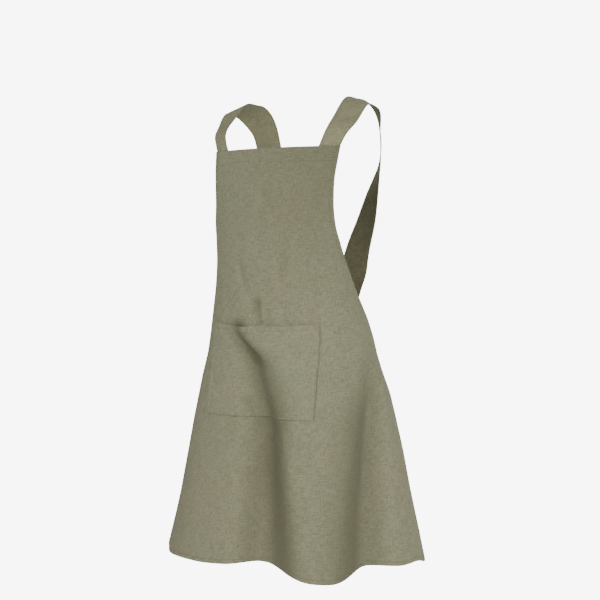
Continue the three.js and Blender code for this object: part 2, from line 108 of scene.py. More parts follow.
# Painted shade along the deepest folds, darkening the cloth's colour there: its angle at each of the
# levels, how far it fades to the right and left, how strong it is, and the shares down where it begins
# and is full. Creases get painted shade as they are deep, and the bib is painted a little darker
# than the skirt as painted shade, most on its left.
FoldShade = namedtuple("FoldShade", "at right left strong begins full")
FOLD_SHADE_LINES = (
    FoldShade((-15, 6.5, 14.5, 17.5, 17.5, 20, 23), 0.044, 0.024, 0.83, 0.42, 0.52),
    FoldShade((92, 84, 73, 66, 59.5, 54, 50.5), 0.05, 0.026, 0.88, 0.46, 0.66),
)
# How much painted shade the fold valleys and the creases get, and the bib's painted shade.
VALLEY_SHADE = 0.3
CREASE_SHADE = 110
CREASE_SHADE_BELOW = 0.001
BIB_SHADE = 0.24
BIB_SHADE_LEFT = 0.007
BIB_SHADE_MOST = 0.6
BIB_SHADE_TO = 0.5

# Creases: short soft lines that the cloth keeps from wear and folding, each from one place to
# another as an angle and a share down, with its half width and its depth.
Crease = namedtuple("Crease", "line start end wide deep")
CREASES = (
    Crease("above_pocket", (2, 0.375), (4, 0.425), 0.011, 0.005),
    Crease("above_pocket_left", (9.5, 0.385), (10, 0.42), 0.007, 0.003),
    Crease("pocket_hollow", (-17, 0.43), (1, 0.505), 0.017, 0.006),
    Crease("pocket_hollow_side", (-12, 0.432), (8, 0.51), 0.016, 0.0035),
    Crease("pocket_slant", (-12, 0.545), (-2, 0.62), 0.011, 0.0022),
    Crease("beside_main_fold", (0, 0.6), (4, 0.66), 0.016, 0.0026),
    Crease("bib_slant", (22, 0.13), (14, 0.175), 0.007, 0.0009),
    Crease("bib_middle", (2, 0.09), (3, 0.24), 0.012, 0.0011),
    Crease("bib_side", (37, 0.085), (40, 0.19), 0.012, 0.001),
    Crease("waist_side", (52, 0.28), (46, 0.36), 0.014, 0.0012),
    Crease("hip_slant", (-30, 0.36), (-12, 0.41), 0.011, 0.0012),
    Crease("waist_slant", (-17, 0.275), (0, 0.39), 0.01, 0.0026),
    Crease("waist_slant_low", (-6, 0.3), (3, 0.37), 0.007, 0.0014),
    Crease("waist_fold", (24, 0.25), (20, 0.34), 0.012, 0.0014),
    Crease("back_left", (140, 0.62), (150, 0.72), 0.016, 0.0014),
    Crease("back_right", (-135, 0.64), (-142, 0.75), 0.017, 0.0014),
)
Ripple = namedtuple("Ripple", "across down height seed")
RIPPLES = (
    Ripple(0.11, 0.19, 0.0009, 3),
    Ripple(0.045, 0.09, 0.00055, 4),
    Ripple(0.019, 0.028, 0.00016, 5),
)
EDGE_WAVE = 0.0012
EDGE_WAVE_DEGREES = 13


def mix(a, b, share):
    return a + (b - a) * share


def ease(x):
    held = np.clip(x, 0, 1)
    return held * held * (3 - 2 * held)


def smooth(xs, ys, x):
    """A smooth curve through places xs with values ys, which never swings past its rows."""
    xs, ys = np.asarray(xs, float), np.asarray(ys, float)
    place = np.clip(x, xs[0], xs[-1])
    slope = np.diff(ys) / np.diff(xs)
    before, after = slope[:-1], slope[1:]
    turns = before * after <= 0
    inner = np.where(turns, 0, 2 * before * after / np.where(turns, 1, before + after))
    tangent = np.concatenate([slope[:1], inner, slope[-1:]])
    i = np.clip(np.searchsorted(xs, place) - 1, 0, len(xs) - 2)
    h = xs[i + 1] - xs[i]
    q = (place - xs[i]) / h
    start = (2 * q**3 - 3 * q**2 + 1) * ys[i] + (q**3 - 2 * q**2 + q) * h * tangent[i]
    end = (3 * q**2 - 2 * q**3) * ys[i + 1] + (q**3 - q**2) * h * tangent[i + 1]
    return start + end


def unevenness(x, y, seed):
    """Smooth values from -1 to 1 over a plane, with one knot a unit apart."""
    knots = np.random.default_rng(seed).uniform(-1, 1, (64, 64))
    i, j = np.floor(x).astype(int), np.floor(y).astype(int)
    fx, fy = ease(x - i), ease(y - j)
    knot = lambda a, b: knots[(i + a) % 64, (j + b) % 64]
    return mix(mix(knot(0, 0), knot(1, 0), fx), mix(knot(0, 1), knot(1, 1), fx), fy)


def half_width(s):
    return HEM_HALF_WIDTH * smooth(DOWN, WIDE, s)


def half_depth(s):
    return HEM_HALF_DEPTH * smooth(DOWN, DEEP, s)


def edge_angle(s):
    return smooth(DOWN, EDGE, s)


def folds(angle, s):
    """How far the skirt's folds reach out and how much they lift the cloth."""
    grown = [np.clip((s - fold.begins) / (1 - fold.begins), 0, 1) ** fold.growth for fold in FOLDS]
    lines = [smooth(FOLD_LEVELS, fold.at, s) for fold in FOLDS]
    reach, rise = np.zeros(angle.shape), np.zeros(angle.shape)
    for k, (a, b) in enumerate(zip(FOLDS[:-1], FOLDS[1:])):
        way = (angle - lines[k]) / (lines[k + 1] - lines[k])
        here = (angle > lines[k]) | (k == 0)
        flank = ease((way - a.flank[0]) / (a.flank[1] - a.flank[0]))
        reach = np.where(here, mix(a.reach * grown[k], b.reach * grown[k + 1], flank), reach)
        rise = np.where(here, mix(a.rise, b.rise, ease(way)), rise)
    lift = np.clip((s - RISE_BEGINS) / (1 - RISE_BEGINS), 0, 1) ** RISE_POWER
    return reach * FOLD_REACH, rise * HEM_RISE * lift


def wrinkles(angle, s):
    """How far creases and ripples move the cloth out, in metres."""
    across, down = np.radians(angle) * half_width(s), BODY_LENGTH * s
    out = np.zeros(angle.shape)
    for ripple in RIPPLES:
        out += ripple.height * unevenness(across / ripple.across, down / ripple.down, ripple.seed)
    for crease in CREASES:
        ends = [(np.radians(a) * half_width(d), BODY_LENGTH * d) for a, d in (crease.start, crease.end)]
        (x, y), (dx, dy) = ends[0], (ends[1][0] - ends[0][0], ends[1][1] - ends[0][1])
        share = np.clip(((across - x) * dx + (down - y) * dy) / (dx * dx + dy * dy), 0, 1)
        away = np.hypot(across - x - share * dx, down - y - share * dy) / crease.wide
        out -= crease.deep * (1.3 * np.exp(-(away**2)) - 0.3 * np.exp(-(away**2) / 6))
    return out


def cloth(angle, s):
    """Places on the outside of the body: angle round from the centre front, share down."""
    angle, s = np.broadcast_arrays(np.asarray(angle, float), np.asarray(s, float))
    a, wide, deep = np.radians(angle), half_width(s), half_depth(s)
    reach, rise = folds(angle, s)
    reach = reach + wrinkles(angle, s)
    out = np.stack([np.sin(a) / wide, -np.cos(a) / deep])
    out = out / np.hypot(*out)
    wave = EDGE_WAVE * s**3 * unevenness(angle / EDGE_WAVE_DEGREES, s * 0 + 0.5, 6)
    middle = -HEM_HALF_DEPTH * smooth(DOWN, AHEAD, s)
    return np.stack([
        wide * np.sin(a) + out[0] * reach,
        middle - deep * np.cos(a) + out[1] * reach,
        rise + wave - SHOULDER_DROP - BODY_LENGTH * s,
    ], -1)


def unit(v):
    return v / np.linalg.norm(v, axis=-1, keepdims=True)


def out_of(angle, s):
    """The cloth's outward direction."""
    sideways = cloth(angle + 0.5, s) - cloth(angle - 0.5, s)
    down = cloth(angle, np.minimum(1, s + 0.003)) - cloth(angle, np.maximum(0, s - 0.003))
    return unit(np.cross(down, sideways))


def cloth_at(angle, s, off):
    """Places moved off the cloth along its outward direction."""
    off = np.asarray(off, float)
    return cloth(angle, s) + out_of(angle, s) * off[..., None]


TURN = np.linspace(-180, 180, 721)


def lengths_round(s):
    """The length round the cloth at each angle of TURN, from the centre front, at one share down."""
    places = cloth(TURN, s)
    run = np.concatenate([[0], np.cumsum(np.hypot(*np.diff(places[:, :2], axis=0).T))])
    return run - np.interp(0, TURN, run)


def spread(length, start, end, step):
    """Places from 0 to a length: the stops at both ends and even steps between them."""
    start, end = np.asarray(start, float), length - np.asarray(end, float)[::-1]
    count = max(2, round((end[0] - start[-1]) / step) + 1)
    return np.concatenate([start[:-1], np.linspace(start[-1], end[0], count), end[1:]])


def rounding(distance, radius):
    """How far a folded edge has closed, from 0 inside it to 1 at the very edge."""
    return 1 - np.sqrt(1 - np.clip(1 - distance / radius, 0, 1) ** 2)


def groove(distance, place, deep=0.0003, wide=0.0006):
    """A row of stitches pulls the cloth in along a line."""
    return -deep * np.exp(-(((distance - place) / wide) ** 2))


def fold_shade(angle, s):
    """Painted shade for the cloth's colour: how far the cloth lies in a fold, from 0 outside the folds to 1,
    with painted shade added in creases and on the bib, as a map's two values.
    """
    inside = VALLEY_SHADE * np.clip(-folds(angle, s)[0] / FOLD_REACH, 0, 1)
    inside = inside + CREASE_SHADE * np.clip(-wrinkles(angle, s) - CREASE_SHADE_BELOW, 0, 1)
    # Painted shade on the bib: its colour is painted darker than the skirt's, most on its left.
    on_bib = 1 - ease(s / BIB_SHADE_TO)
    inside = inside + on_bib * np.clip(BIB_SHADE + BIB_SHADE_LEFT * angle, 0, BIB_SHADE_MOST)
    for painted_shade in FOLD_SHADE_LINES:
        away = np.radians(angle - smooth(FOLD_LEVELS, painted_shade.at, s)) * half_width(s)
        fade = np.exp(-((away / np.where(away < 0, painted_shade.right, painted_shade.left)) ** 2))
        inside = inside + painted_shade.strong * fade * ease((s - painted_shade.begins) / (painted_shade.full - painted_shade.begins))
    inside = np.clip(inside, 0, 1)
    return np.stack([inside, 0 * inside], -1)


def add(name, data):
    """A new object, put into the scene."""
    made = bpy.data.objects.new(name, data)
    bpy.context.scene.collection.objects.link(made)
    return made


def shell(name, outside, inside, maps):
    """A closed sheet between two equal grids, with maps of values over it, named by their use."""
    rows, columns = outside.shape[:2]
    front = np.arange(rows * columns).reshape(rows, columns)
    back = front + rows * columns
    quads = lambda g: np.stack([g[:-1, :-1], g[1:, :-1], g[1:, 1:], g[:-1, 1:]], -1).reshape(-1, 4)
    rims = (
        (front[0], back[0]),
        (front[-1, ::-1], back[-1, ::-1]),
        (front[::-1, 0], back[::-1, 0]),
        (front[:, -1], back[:, -1]),
    )
    faces = [quads(front), quads(back)[:, ::-1]]
    faces += [np.stack([a[:-1], a[1:], b[1:], b[:-1]], -1) for a, b in rims]
    mesh = bpy.data.meshes.new(name)
    points = np.concatenate([outside.reshape(-1, 3), inside.reshape(-1, 3)])
    mesh.from_pydata(points.tolist(), [], np.concatenate(faces).tolist())
    corners = np.zeros(len(mesh.loops), int)
    mesh.loops.foreach_get("vertex_index", corners)
    for title in ("flat", "margin", "fold_shade"):
        values = maps.get(title, np.zeros((rows, columns, 2)))
        both = np.concatenate([values.reshape(-1, 2)] * 2)
        mesh.uv_layers.new(name=title).data.foreach_set("uv", both[corners].ravel())
    mesh.shade_smooth()
    return add(name, mesh)


class Signal:
    """One output of a shader node. Arithmetic on it adds Math nodes to its tree."""

    def __init__(self, tree, socket):
        self.tree = tree
        self.socket = socket

    def node(self, kind, settings, inputs, output=0):
        made = self.tree.nodes.new(kind)
        for name, value in settings.items():
            setattr(made, name, value)
        for name, value in inputs.items():
            if isinstance(value, Signal):
                self.tree.links.new(value.socket, made.inputs[name])
            else:
                made.inputs[name].default_value = value
        return Signal(self.tree, made.outputs[output])

    def maths(self, operation, a, b=0.0, held=False):
        return self.node("ShaderNodeMath", {"operation": operation, "use_clamp": held}, {0: a, 1: b})

    def blend(self, share, a, b):
        """A colour on the way from one colour to another."""
        inputs = {"Factor": share, "A": a, "B": b}
        return self.node("ShaderNodeMix", {"data_type": "RGBA"}, inputs, "Result")

    def __add__(self, other):
        return self.maths("ADD", self, other)

    def __sub__(self, other):
        return self.maths("SUBTRACT", self, other)

    def __rsub__(self, other):
        return self.maths("SUBTRACT", other, self)

    def __mul__(self, other):
        return self.maths("MULTIPLY", self, other)

    def __truediv__(self, other):
        return self.maths("DIVIDE", self, other)

    __radd__ = __add__
    __rmul__ = __mul__

    def sine(self):
        return self.maths("SINE", self)

    def size(self):
        return self.maths("ABSOLUTE", self)

    def held(self):
        return self.maths("ADD", self, 0.0, held=True)

    def near(self, place, wide):
        """1 at a place, fading to 0 at a width from it."""
        return (1 - (self - place).size() / wide).held()

    def mottle(self, other, seed):
        """Noise over this value and another, from about 0.25 to 0.75."""
        place = self.node("ShaderNodeCombineXYZ", {}, {"X": self, "Y": other, "Z": seed})
        return self.node("ShaderNodeTexNoise", {}, {"Vector": place, "Scale": 1.0, "Detail": 2.0})


# Unevenness of the cloth: its size across and down, its seed, and how strongly it changes the tone
# and the height of the surface.
Uneven = namedtuple("Uneven", "across down seed tone height")
WEAVE = {
    "warp": Uneven(0.0013, 0.016, 1.0, 1.7, 0.00016),
    "weft": Uneven(0.02, 0.0013, 2.0, 1.7, 0.00016),
    "slubs_down": Uneven(0.0024, 0.008, 3.0, 1.7, 0.00022),
    "slubs_across": Uneven(0.012, 0.0024, 4.0, 1.7, 0.00022),
    "fine": Uneven(0.0007, 0.0007, 5.0, 0.4, 0),
    "grain": Uneven(0.0019, 0.0019, 5.5, 1.7, 0),
    "cloud": Uneven(0.022, 0.03, 6.0, 0.7, 0),
    "tint": Uneven(0.012, 0.016, 7.0, 0, 0),
    "wide_tint": Uneven(0.06, 0.09, 7.5, 0, 0),
}
YARN = 0.0008
YARN_HEIGHT = 0.00003
PUCKER_SIZE = 0.0052
PUCKER_WIDE = 0.004
PUCKER_HEIGHT = 0.0007
# Painted shade along the rows of stitches: the colour is darkened in a narrow line at each, where its groove
# is. The same width serves the paler turned edge.
MARK_WIDE = 0.0016
SEAM_SHADE = 0.55
EDGE_PALER = 0.12
RED_TINT = (1.02, 0.9, 0.86)
GREEN_TINT = (0.8, 0.92, 0.86)
TINT_SHARE = 0.4
# Painted shade in the folds: the dark colour they are painted towards, as a share of the dark tone, and how
# much of it the fold shade map lays on.
FOLD_SHADE_TONE = 0.66
FOLD_SHADE_SHARE = 0.85
THREAD_SHEEN = 0.07


def linen(name, pale, dark, seams):
    """Washed linen: plain weave of uneven yarns, with pale and dark slubs along both directions,
    faded where it is rubbed, with painted shade along its rows of stitches and in its folds.
    seams: for each row of stitches, which edge distance it follows (0 or 1) and how far in it lies."""
    material = bpy.data.materials.new(name)
    material.use_nodes = True
    tree = material.node_tree
    shader = tree.nodes["Principled BSDF"]
    start = Signal(tree, None)
    flat = start.node("ShaderNodeUVMap", {"uv_map": "flat"}, {})
    margin = start.node("ShaderNodeUVMap", {"uv_map": "margin"}, {})
    across = start.node("ShaderNodeSeparateXYZ", {}, {"Vector": flat}, "X")
    down = start.node("ShaderNodeSeparateXYZ", {}, {"Vector": flat}, "Y")
    edges = [start.node("ShaderNodeSeparateXYZ", {}, {"Vector": margin}, axis) for axis in "XY"]
    # The map of painted shade in the folds, the creases and on the bib.
    inner = start.node("ShaderNodeUVMap", {"uv_map": "fold_shade"}, {})
    deep = start.node("ShaderNodeSeparateXYZ", {}, {"Vector": inner}, "X")

    noise = {kind: (across / u.across).mottle(down / u.down, u.seed) for kind, u in WEAVE.items()}
    tone = 0.5 + sum(u.tone * (noise[kind] - 0.5) for kind, u in WEAVE.items() if u.tone)
    pucker = seam_shade = 0.0
    for edge, place in seams:
        seam = edges[edge].near(place, PUCKER_WIDE)
        along = (across / PUCKER_SIZE).mottle(down / PUCKER_SIZE, 8.0 + place)
        pucker = pucker + seam * (along - 0.5)
        # Painted shade along the stitches: a narrow darker line in their groove.
        seam_shade = seam_shade + edges[edge].near(place, MARK_WIDE) * SEAM_SHADE
    turned = edges[0].near(0.0, MARK_WIDE) * EDGE_PALER
    tone = tone - seam_shade * (0.4 + noise["fine"]) + turned

    red, green = (tuple(c * part for c, part in zip(pale, tint)) for tint in (RED_TINT, GREEN_TINT))
    # Painted shade: the colour that the folds, creases and bib are darkened towards.
    painted_shade = tuple(c * FOLD_SHADE_TONE for c in dark)
    colour = start.blend(tone.held(), (*dark, 1), (*pale, 1))
    redness = 1.5 * (noise["tint"] + noise["wide_tint"]) - 1
    hue = start.blend(redness.held(), (*green, 1), (*red, 1))
    colour = start.blend(TINT_SHARE, colour, hue)
    # Painted shade from the fold shade map.
    colour = start.blend(FOLD_SHADE_SHARE * deep, colour, (*painted_shade, 1))

    turns = np.pi / YARN
    ribs = (across * turns + 2 * noise["warp"]).sine() * (down * turns + 2 * noise["weft"]).sine()
    height = YARN_HEIGHT * ribs + PUCKER_HEIGHT * pucker
    height = height + sum(u.height * noise[kind] for kind, u in WEAVE.items() if u.height)
    bump = start.node("ShaderNodeBump", {}, {"Height": height, "Strength": 0.8, "Distance": 1.0})
    inputs = {"Base Color": colour, "Roughness": 0.8 + 0.2 * noise["fine"], "Normal": bump}
    for title, signal in inputs.items():
        tree.links.new(signal.socket, shader.inputs[title])
    shader.inputs["Specular IOR Level"].default_value = 0.25
    shader.inputs["Sheen Weight"].default_value = THREAD_SHEEN
    shader.inputs["Sheen Roughness"].default_value = 0.5
    return material


def dress(piece, material, slot, *nodes):
    """Gives a piece its material and its place in the frame."""
    piece.data.materials.append(material)
    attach(piece, "root")
    if nodes:
        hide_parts(*nodes)


BODY_PALE = (0.297, 0.293, 0.19)
BODY_DARK = (0.157, 0.153, 0.09)
hem_thick = CLOTH + HEM_EXTRA
hem_stops = (0, 0.00012, 0.0004, 0.001, 0.0022, 0.005, 0.0069, 0.0074, 0.0078, 0.0082, 0.0089, 0.0091, 0.012)
top_stops = (0, 0.0001, 0.0003, 0.0006, 0.002, 0.01, 0.0195, 0.0242, 0.0246, 0.025, 0.0254, 0.0258, 0.029)
BODY_COLUMNS = 200
BODY_ROW = 0.0044
heights = spread(BODY_LENGTH, top_stops, hem_stops, BODY_ROW)
shares = heights / BODY_LENGTH
round_lengths = [lengths_round(s) for s in shares]
half_lengths = np.array([np.interp(edge_angle(s), TURN, run) for s, run in zip(shares, round_lengths)])
left_lengths = np.array([-np.interp(-edge_angle(s), TURN, run) for s, run in zip(shares, round_lengths)])
slant = np.hypot(1, np.gradient(half_lengths, heights))
slant = np.convolve(np.pad(slant, 3, mode="edge"), np.ones(7) / 7, "valid")

body_angle, body_flat, side_distance = [], [], []
for s, run, right, left, lean in zip(shares, round_lengths, half_lengths, left_lengths, slant):
    stops = np.array(hem_stops) * lean
    step = (left + right - 2 * stops[-1]) / BODY_COLUMNS
    places = spread(left + right, stops, stops, step) - left
    body_angle.append(np.interp(places, run, TURN))
    body_flat.append(np.stack([places, np.full(places.shape, s * BODY_LENGTH)], -1))
    side_distance.append(np.minimum(places + left, right - places) / lean)
body_angle, body_flat, side_distance = map(np.array, (body_angle, body_flat, side_distance))
body_share = np.broadcast_to(shares[:, None], body_angle.shape)
hem_distance = BODY_LENGTH - body_share * BODY_LENGTH
top_distance = body_share * BODY_LENGTH
edge_distance = np.minimum(side_distance, hem_distance)
in_hem = ease((HEM_WIDTH - edge_distance) / HEM_STEP + 0.5)
thick = CLOTH + HEM_EXTRA * in_hem
closing = rounding(edge_distance, hem_thick / 2)
seamed = rounding(top_distance, SEAM_RADIUS)
puff = HEM_PUFF * in_hem * np.sin(np.clip(edge_distance / HEM_STITCH, 0, 1) * np.pi)
pulled = groove(side_distance, HEM_STITCH) + groove(hem_distance, HEM_STITCH)
pulled = pulled + groove(top_distance, FACING_STITCH)
closed = closing * thick * EDGE_CLOSES
body_outside = cloth_at(body_angle, body_share, puff + pulled - closed - seamed * SEAM_ROUNDS_FRONT)
body_inside = cloth_at(body_angle, body_share, pulled - thick + closed - seamed * SEAM_ROUNDS_BACK)
body_linen = linen("body_linen", BODY_PALE, BODY_DARK, [(0, HEM_STITCH), (1, HEM_STITCH)])
margins = np.stack([side_distance, hem_distance], -1)
# The fold shade map paints shade into the body's colour.
body_maps = {"flat": body_flat, "margin": margins, "fold_shade": fold_shade(body_angle, body_share)}
body = shell("apron_body_linen", body_outside, body_inside, body_maps)
dress(body, body_linen, "body_linen", "apron_body")

# Stitching of the body: one row of linen-coloured thread round the sides and the lower edge,
# through the turned hem, and one across the bib that holds the facing. It shows on both faces.
STITCH_PITCH = 0.0034
STITCH_LENGTH = 0.0026
THREAD = 0.00028
THREAD_SIDES = 5
STITCH_OUT = THREAD * 0.2
STITCH_IN = THREAD * 0.9
HEM_STITCH_PLACES = 700
BIB_STITCH_PLACES = 160
THREAD_COLOUR = (0.33, 0.32, 0.215)


def stitch_mesh(name, rows, material, slot):
    """One rounded length of thread for each stitch of each row of (places, outward directions)."""
    along_share, wide, lift = np.array(((0, 0.35, -0.5), (0.2, 1, 0.35), (0.8, 1, 0.35), (1, 0.35, -0.5))).T
    turns = np.radians(np.arange(0, 360, 360 / THREAD_SIDES))
    blocks = []
    for places, outs in rows:
        run = np.concatenate([[0], np.cumsum(np.linalg.norm(np.diff(places, axis=0), axis=1))])
        starts = np.arange(0, run[-1] - STITCH_LENGTH, STITCH_PITCH)
        at = lambda lengths, values: np.stack([np.interp(lengths, run, v) for v in values.T], -1)
        first, last = at(starts, places), at(starts + STITCH_LENGTH, places)
        out = unit(at(starts + STITCH_LENGTH / 2, outs))
        side = unit(np.cross(last - first, out))
        centres = mix(first[:, None], last[:, None], along_share[:, None])
        centres = centres + out[:, None] * (THREAD * lift)[:, None]
        spokes = side[:, None] * np.cos(turns)[:, None] + out[:, None] * np.sin(turns)[:, None]
        blocks.append(centres[:, :, None] + spokes[:, None] * (THREAD * wide)[:, None, None])
    points = np.concatenate(blocks)
    ring = np.arange(THREAD_SIDES)
    following = (ring + 1) % THREAD_SIDES
    quad = np.stack([ring, THREAD_SIDES + ring, THREAD_SIDES + following, following], -1)
    sides = [quad + THREAD_SIDES * k for k in range(len(along_share) - 1)]
    stitch_points = THREAD_SIDES * len(along_share)
    first_vertex = stitch_points * np.arange(len(points))[:, None, None]
    quads = (np.concatenate(sides) + first_vertex).reshape(-1, 4)
    caps = (np.array([ring, stitch_points - 1 - ring]) + first_vertex).reshape(-1, THREAD_SIDES)
    mesh = bpy.data.meshes.new(name)
    mesh.from_pydata(points.reshape(-1, 3).tolist(), [], quads.tolist() + caps.tolist())
    mesh.shade_smooth()
    piece = add(name, mesh)
    dress(piece, material, slot)
    return piece


def thread_material(name, colour):
    """Matt cotton thread, twisted from two plies, a little uneven in tone."""
    material = bpy.data.materials.new(name)
    material.use_nodes = True
    tree = material.node_tree
    shader = tree.nodes["Principled BSDF"]
    start = Signal(tree, None)
    place = start.node("ShaderNodeTexCoord", {}, {}, "Object")
    uneven = start.node("ShaderNodeTexNoise", {}, {"Vector": place, "Scale": 240.0, "Detail": 2.0})
    dark = tuple(c * 0.75 for c in colour)
    light = tuple(c * 1.25 for c in colour)
    tone = start.blend(uneven, (*dark, 1), (*light, 1))
    twist = start.node("ShaderNodeTexNoise", {}, {"Vector": place, "Scale": 2600.0, "Detail": 1.0})
    bump = start.node("ShaderNodeBump", {}, {"Height": twist, "Strength": 0.5, "Distance": 0.0001})
    for title, signal in {"Base Color": tone, "Roughness": 0.5 + 0.3 * uneven, "Normal": bump}.items():
        tree.links.new(signal.socket, shader.inputs[title])
    shader.inputs["Sheen Weight"].default_value = THREAD_SHEEN
    return material


def body_row(angle, s, off):
    """A row of stitches on the body's outside, or on its inside where off is below 0."""
    angle, s = np.broadcast_arrays(np.asarray(angle, float), np.asarray(s, float))
    out = out_of(angle, s)
    return cloth(angle, s) + out * off, out * np.sign(off)


thread = thread_material("linen_thread", THREAD_COLOUR)
side_shares = shares[shares < 1 - HEM_STITCH / BODY_LENGTH]
rows = []
for side, lengths in ((1, half_lengths), (-1, left_lengths)):
    angles = []
    for s, run, length, lean in zip(side_shares, round_lengths, lengths, slant):
        angles.append(np.interp(side * (length - HEM_STITCH * lean), run, TURN))
    rows.append(body_row(np.array(angles), side_shares, STITCH_OUT))
    rows.append(body_row(np.array(angles), side_shares, -hem_thick - STITCH_IN))
low_share = 1 - HEM_STITCH / BODY_LENGTH
low_edge = edge_angle(low_share) - 1.5
low_angles = np.linspace(-low_edge, low_edge, HEM_STITCH_PLACES)
rows.append(body_row(low_angles, low_share, STITCH_OUT))
rows.append(body_row(low_angles, low_share, -hem_thick - STITCH_IN))
hem_stitches = stitch_mesh("hem_stitches", rows, thread, "body_linen")
bib_share = FACING_STITCH / BODY_LENGTH
bib_edge = edge_angle(bib_share) - 1.6
bib_angles = np.linspace(-bib_edge, bib_edge, BIB_STITCH_PLACES)
bib_row = body_row(bib_angles, bib_share, STITCH_OUT)
bib_stitches = stitch_mesh("facing_stitches", [bib_row], thread, "body_linen")

# Straps: each is one long strip of the same linen, folded to two layers, pressed flat and
# stitched along both edges. It is sewn in behind the bib's top edge at one end and inside the
# opposite back corner of the skirt at the other. The one from the left shoulder lies outermost.
SHOULDER_HALF = 0.14
BACK_REACH = 0.143
STRAP = 0.002
STRAP_WIDTH = 0.066
STRAP_SLANT = 0.5
FACING_HEIGHT = 0.028
FACING_SEAM = 0.006
STRAP_TUCK = FACING_HEIGHT - FACING_SEAM
STRAP_PRESSED = 0.01
STRAP_TURN = 0.06
BACK_EASE = 0.0009
CROSS_SPREAD = 0.0018
BACK_ROUND = 2 * BACK_REACH
BACK_ANGLES = (110.0, 179.0)
BACK_HALVINGS = 22
STRAP_STITCH = 0.0035
STRAP_END_STITCH = 0.004
STRAP_GROOVE = 0.00028
STRAP_GROOVE_WIDE = 0.0008
STRAP_EDGE_CLOSES = 0.93
STRAP_ROW = 0.0034
STRAP_COLUMNS = 13
STRAP_SOFT = 0.0007
STRAP_SOFT_SIZE = (0.05, 0.03)
STRAP_SOFT_FROM = (0.06, 0.05)
STRAP_SOFT_TO = (0.68, 0.08)
back_drop = SHOULDER_DROP + BODY_LENGTH * 0.55
sewn_depth = CLOTH + HEM_EXTRA + 2 * GAP

# Path of the left strap, as in the model: across and back as shares of SHOULDER_HALF and
# BACK_REACH, down on the front and down on the back, width, turn and tip in degrees.
STRAP_PATH = np.array([
    (0.84, -0.59, 1.23, 0, 0.64, 30, 0),
    (0.9, -0.5, 1, 0, 0.64, 30, 0),
    (0.96, -0.36, 0.68, 0, 0.7, 22, 8),
    (0.99, -0.18, 0.3, 0, 0.76, 8, 18),
    (1, 0.07, 0.02, 0, 0.82, -10, 20),
    (1, 0.34, 0, 0.01, 0.84, -38, 16),
    (0.98, 0.57, 0, 0.035, 0.86, -57, 8),
    (0.96, 0.72, 0, 0.08, 0.88, -62, 2),
    (0.94, 0.8, 0, 0.15, 0.88, -62, 0),
    (0.89, 0.86, 0, 0.22, 0.88, -59, 0),
    (0.81, 0.9, 0, 0.285, 0.9, -49, 0),
    (0.69, 0.95, 0, 0.37, 0.92, -34, 0),
    (0.56, 0.99, 0, 0.465, 0.94, -22, 0),
    (0.44, 1, 0, 0.555, 0.97, -12, 0),
    (0.36, 1, 0, 0.645, 1, -5, 0),
    (0.24, 0.99, 0, 0.73, 1, 0, 0),
    (0.06, 0.96, 0, 0.82, 1, 0, 0),
    (-0.17, 0.92, 0, 0.91, 1, 0, 0),
    (-0.44, 0.89, 0, 1, 1, 0, 0),
    (-0.61, 0.92, 0, 1.06, 1, 0, 0),
])
# Where each strap end goes over to its back panel, down and across the strap.
LEAVES_DOWN, LEAVES_FROM, LEAVES_TO = np.array([
    (0.908, 0.38, 0.97),
    (0.946, 0.39, 0.94),
    (0.988, -0.6, 0.06),
]).T
FORMED, SEWN, CLOSED = (0.62, 0.7), (0.86, 0.927), (0.946, 1.003)
FORM_BEGINS = 0.45

path_across, path_back, path_ahead, path_behind, path_wide, path_turn, path_tip = STRAP_PATH.T
path_places = np.stack([
    path_across * SHOULDER_HALF,
    path_back * BACK_REACH,
    -path_ahead * SHOULDER_DROP - path_behind * back_drop,
], -1)
path_runs = np.concatenate([[0], np.cumsum(np.linalg.norm(np.diff(path_places, axis=0), axis=1))])
path_run = path_runs[-1]
low = path_places[:, 2] < -FORM_BEGINS * back_drop
low_heights, low_backs = -path_places[low, 2], path_places[low, 1]
top_run = lengths_round(0.0)
top_edge = float(np.interp(edge_angle(0.0), TURN, top_run))


def along_path(values, run):
    """A value along the strap's path, smoothed a little so that the strap has no kinks."""
    fine = np.linspace(0, path_run, 600)
    curve = smooth(path_runs, values, fine)
    window = np.hanning(31)
    padded = np.concatenate([2 * curve[0] - curve[15:0:-1], curve, 2 * curve[-1] - curve[-2:-17:-1]])
    return np.interp(run, fine, np.convolve(padded, window / window.sum(), "valid"))


def path_place(run):
    return np.stack([along_path(path_places[:, k], run) for k in range(3)], -1)


def strap_angle(off, down):
    """The angle on the bib at a distance from the strap's outer edge."""
    return np.interp(top_edge + off - GAP - STRAP_SLANT * down, top_run, TURN)


def back_place(across, up):
    """The share down and the angle of the body's back at places across and up."""
    s = np.clip((-up - SHOULDER_DROP) / BODY_LENGTH, 0, 1)
    side = np.where(across < 0, -1, 1)
    near, far = (np.full(across.shape, limit) for limit in BACK_ANGLES)
    for _ in range(BACK_HALVINGS):
        half = (near + far) / 2
        wider = cloth(side * half, s)[..., 0] * side > np.abs(across)
        near, far = np.where(wider, half, near), np.where(wider, far, half)
    return s, side * (near + far) / 2


def lay_on_back(p, lift, layer):
    """On the back both straps lie on one smooth form, and each end lies inside its back panel."""
    down = -p[..., 2]
    grown = lambda stage: ease((down / back_drop - stage[0]) / (stage[1] - stage[0]))
    form = smooth(low_heights, low_backs, down) - p[..., 0] ** 2 / (2 * BACK_ROUND)
    apart = layer * CROSS_SPREAD * (1 - grown(CLOSED))
    laid = mix(p[..., 1], form + apart + lift, grown(FORMED))
    leaves = [smooth(LEAVES_DOWN * back_drop, edge * STRAP_WIDTH, down) for edge in (LEAVES_FROM, LEAVES_TO)]
    sewn_share = grown(SEWN) * ease((-p[..., 0] - leaves[0]) / (leaves[1] - leaves[0])) * (p[..., 0] < 0)
    s, angle = back_place(p[..., 0], p[..., 2])
    sewn = cloth_at(angle, s, -sewn_depth - BACK_EASE - STRAP / 2 + lift)
    return np.stack([p[..., 0], mix(laid, sewn[..., 1], sewn_share), p[..., 2]], -1)


